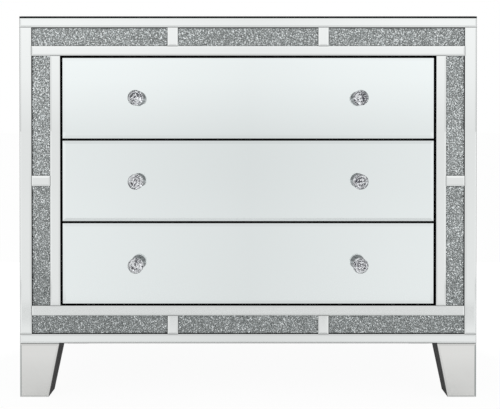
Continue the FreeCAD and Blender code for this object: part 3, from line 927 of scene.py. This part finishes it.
def runner_screws(material):
    """Screws through the channels on the drawers' sides."""
    for level in LEVELS:
        mesh = bmesh.new()
        low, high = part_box(level + "_drawer_runners")
        front = low.y + RUNNER_SCREW_INSET
        back = high.y - RUNNER_SCREW_INSET
        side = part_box(level + "_drawer_right_side")[1].x + RUNNER_SHEET
        for y in even_places(front, back, RUNNER_SCREW_STEP):
            for out in (-1, 1):
                seat = Vector((out * side, y, (low.z + high.z) / 2))
                pan_head(mesh, seat, Vector((out, 0, 0)), Vector((0, 0, 1)))
        name = level + "_runner_screws"
        settle(name, as_mesh(name, mesh), material, level + "_drawer")


def screws():
    """Fixing screws on the back and on the drawer runners."""
    material = zinc_steel("screw zinc", (500.0, 500.0, 500.0))
    back_screws(material)
    runner_screws(material)


def in_mirror(tree, rays):
    """One for a ray that comes by way of a mirror or through glass, and none for others."""
    return maths(tree, "MAXIMUM", rays["Is Glossy Ray"], rays["Is Transmission Ray"])


def floor_material():
    """A pale floor: white with a faint shadow to the camera, and bands of light to the mirrors."""
    material, tree = new_tree("studio floor")
    rays = add(tree, "LightPath").outputs
    matt = add(tree, "BsdfDiffuse")
    feed(tree, matt, "Color", (0.86, 0.86, 0.86, 1))
    white = add(tree, "Emission")
    seen = maths(tree, "MULTIPLY", rays["Is Camera Ray"], FLOOR_WHITE)
    spot = axes(tree, object_point(tree))
    bands = steps(tree, spot["Y"], *FLOOR_BAND_ENDS, FLOOR_BANDS)
    share = maths(tree, "ADD", seen, maths(tree, "MULTIPLY", in_mirror(tree, rays), bands))
    aside = maths(tree, "ABSOLUTE", spot["X"])
    turn = maths(tree, "DIVIDE", aside, maths(tree, "SUBTRACT", SIGHT_START, spot["Y"]))
    lane = spread(tree, turn, 0.0, 0.25, 0.87, 0.985)
    lane = maths(tree, "MULTIPLY", lane, spread(tree, turn, 0.42, 0.6, 1.0, 1.10))
    feed(tree, white, "Strength", maths(tree, "MAXIMUM", lane, rays["Is Camera Ray"]))
    mix = add(tree, "MixShader")
    feed(tree, mix, 0, share)
    tree.links.new(matt.outputs[0], mix.inputs[1])
    tree.links.new(white.outputs[0], mix.inputs[2])
    put_out(tree, mix)
    return material


def floor():
    """A wide plain floor at the feet."""
    mesh = bpy.data.meshes.new("studio_floor")
    signs = ((-1, -1), (1, -1), (1, 1), (-1, 1))
    mesh.from_pydata([(x * FLOOR_REACH, y * FLOOR_REACH, 0) for x, y in signs], [], [(0, 1, 2, 3)])
    mesh.materials.append(floor_material())
    piece = bpy.data.objects.new("studio_floor", mesh)
    bpy.context.scene.collection.objects.link(piece)


def studio_world():
    """A white room, which the mirrors show with banded walls, dimmer in the middle and grey behind."""
    world = bpy.data.worlds.new("studio")
    bpy.context.scene.world = world
    world.use_nodes = True
    tree = world.node_tree
    tree.nodes.clear()
    rays = add(tree, "LightPath").outputs
    direction = axes(tree, add(tree, "TexCoord").outputs["Generated"])
    wall = steps(tree, direction["Z"], *WALL_BAND_ENDS, WALL_BANDS)
    ahead = spread(tree, maths(tree, "MULTIPLY", direction["Y"], -1.0), 0.40, 0.75, 0.5, 1.0)
    lane = spread(tree, maths(tree, "ABSOLUTE", direction["X"]), 0.0, 0.25, 0.95, 1.03)
    room = maths(tree, "MULTIPLY", maths(tree, "MULTIPLY", wall, ahead), lane)
    lit = choose(tree, in_mirror(tree, rays), ROOM_LIGHT, room)
    background = add(tree, "Background")
    feed(tree, background, "Color", (1, 1, 1, 1))
    feed(tree, background, "Strength", choose(tree, rays["Is Camera Ray"], lit, 1.0))
    put_out(tree, background, "OutputWorld")


def soft_lamp(name, place, target, size, power):
    """A square softbox aimed at a point and kept out of the mirrors."""
    data = bpy.data.lights.new(name, "AREA")
    data.shape = "SQUARE"
    data.size = size
    data.energy = power
    lamp = bpy.data.objects.new(name, data)
    bpy.context.scene.collection.objects.link(lamp)
    lamp.visible_glossy = False
    lamp.location = place
    lamp.rotation_euler = (Vector(target) - Vector(place)).to_track_quat("-Z", "Y").to_euler()


def lights():
    """Soft light from the left, the right and above."""
    middle = (0, 0, 0.4)
    soft_lamp("key_softbox", place=(-2.4, -2.8, 3.2), target=middle, size=3.0, power=17)
    soft_lamp("fill_softbox", place=(2.8, -1.8, 2.6), target=middle, size=2.4, power=7)
    soft_lamp("overhead_softbox", place=(0.0, 0.6, 3.4), target=middle, size=3.0, power=5)


def camera():
    """The photograph's viewpoint."""
    data = bpy.data.cameras.new("photo_camera")
    data.lens = CAMERA_LENS
    data.sensor_width = CAMERA_SENSOR
    data.shift_y = CAMERA_SHIFT
    view = bpy.data.objects.new("photo_camera", data)
    bpy.context.scene.collection.objects.link(view)
    view.location = (CAMERA_OFFSET, front_y() - CAMERA_DISTANCE, CAMERA_HEIGHT)
    view.rotation_euler = (math.radians(90) - CAMERA_TILT, 0, 0)
    bpy.context.scene.camera = view


bpy.context.scene.view_settings.view_transform = "Standard"
shared = shader_groups()
frame_black = black_paint(shared)
dress_case(shared, frame_black)
crushed_crystal()
joint_lines(frame_black)
knob_foils()
screws()
floor()
studio_world()
lights()
camera()
